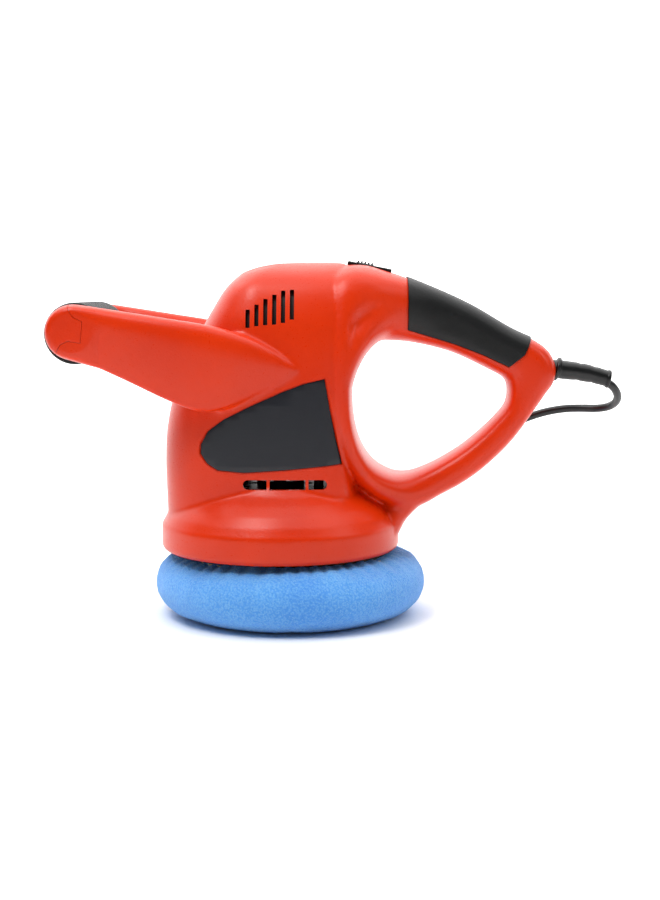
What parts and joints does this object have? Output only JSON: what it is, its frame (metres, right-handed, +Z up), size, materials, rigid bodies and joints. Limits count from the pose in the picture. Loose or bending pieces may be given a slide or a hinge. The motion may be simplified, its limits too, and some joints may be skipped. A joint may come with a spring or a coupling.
{
  "type": "rotary polisher",
  "caption": "Mains-powered random-orbit car polisher with loop handle, front bail handle and terry bonnet.",
  "frame": {"origin": "point on the floor on the motor axis, in the flat underside of the bonnet", "axes": "+Z up along the motor axis, +X towards the loop handle at the rear, -X towards the front handle"},
  "size_m": [0.3593, 0.2653, 0.2223],
  "materials": {
    "housing_plastic": "satin, finely textured",
    "name_plate_plastic": "satin",
    "grip_rubber": "matte, finely textured",
    "black_plastic": "matte",
    "terry_cloth": "looped microfibre pile",
    "foam": "open-cell",
    "elastic": "woven",
    "machine_steel": "machined",
    "bearing_steel": "polished",
    "lamination_steel": "punched and stacked",
    "frame_casting": "glass-filled, matte",
    "hub_casting": "cast",
    "copper": "enamelled wire and bars",
    "brass": "pressed",
    "carbon": "sintered",
    "capacitor_case": "gloss",
    "wire_insulation": "satin",
    "cord_rubber": "satin",
    "nickel_plate": "plated"
  },
  "bodies": {
    "housing": {"housing_left": "housing_plastic", "housing_right": "housing_plastic", "name_plate_left": "name_plate_plastic", "name_plate_right": "name_plate_plastic", "rear_grip": "grip_rubber", "front_sleeve": "grip_rubber", "handle_cap_left": "housing_plastic", "handle_cap_right": "housing_plastic", "housing_screws": "machine_steel", "bottom_shroud": "black_plastic", "shroud_screws": "machine_steel", "lower_frame": "frame_casting", "upper_frame": "frame_casting", "stator_core": "lamination_steel", "field_coils": "copper", "stator_screws": "machine_steel", "brush_holders": "brass", "carbon_brushes": "carbon", "brush_springs": "machine_steel", "capacitor": "capacitor_case", "motor_wires": "wire_insulation", "supply_wires": "wire_insulation", "lower_outer_race": "bearing_steel", "upper_outer_race": "bearing_steel", "switch_bezel": "black_plastic", "switch_module": "black_plastic", "cord_clamp": "black_plastic", "clamp_screws": "machine_steel", "strain_relief": "cord_rubber", "mains_cord": "cord_rubber", "cord_tail": "cord_rubber", "cord_coil": "cord_rubber", "cord_tie": "black_plastic", "plug_body": "cord_rubber", "plug_pins": "nickel_plate"},
    "rotor": {"motor_shaft": "machine_steel", "armature_core": "lamination_steel", "armature_windings": "copper", "commutator": "copper", "cooling_fan": "black_plastic", "eccentric_hub": "hub_casting", "lower_inner_race": "bearing_steel", "upper_inner_race": "bearing_steel", "pad_outer_races": "bearing_steel"},
    "pad": {"pad_spindle": "machine_steel", "pad_inner_races": "bearing_steel", "pad_screw": "machine_steel", "backing_plate": "black_plastic", "foam_pad": "foam", "bonnet": "terry_cloth", "bonnet_elastic": "elastic"},
    "lower_cage": {"lower_balls": "bearing_steel"},
    "upper_cage": {"upper_balls": "bearing_steel"},
    "pad_cage": {"pad_balls": "bearing_steel"},
    "switch": {"switch_slider": "black_plastic"}
  },
  "joints": [
    {"name": "motor_spin", "type": "hinge", "parent": "housing", "child": "rotor", "pos_m": [0, 0, 0.12], "axis": [0, 0, 1], "continuous": true},
    {"name": "pad_spin", "type": "hinge", "parent": "rotor", "child": "pad", "pos_m": [0.00635, 0, 0.055], "axis": [0, 0, 1], "continuous": true},
    {"name": "lower_cage_spin", "type": "hinge", "parent": "housing", "child": "lower_cage", "pos_m": [0, 0, 0.0795], "axis": [0, 0, 1], "continuous": true},
    {"name": "upper_cage_spin", "type": "hinge", "parent": "housing", "child": "upper_cage", "pos_m": [0, 0, 0.1715], "axis": [0, 0, 1], "continuous": true},
    {"name": "pad_cage_spin", "type": "hinge", "parent": "rotor", "child": "pad_cage", "pos_m": [0.00635, 0, 0.055], "axis": [0, 0, 1], "continuous": true},
    {"name": "switch_slide", "type": "slide", "parent": "housing", "child": "switch", "axis": [0.9816, 0, -0.1908], "range_m": [0, 0.006]}
  ],
  "couplings": [
    {"joint": "lower_cage_spin", "follows": "motor_spin", "ratio": 0.3667},
    {"joint": "upper_cage_spin", "follows": "motor_spin", "ratio": 0.3667},
    {"joint": "pad_cage_spin", "follows": "pad_spin", "ratio": 0.3667}
  ]
}
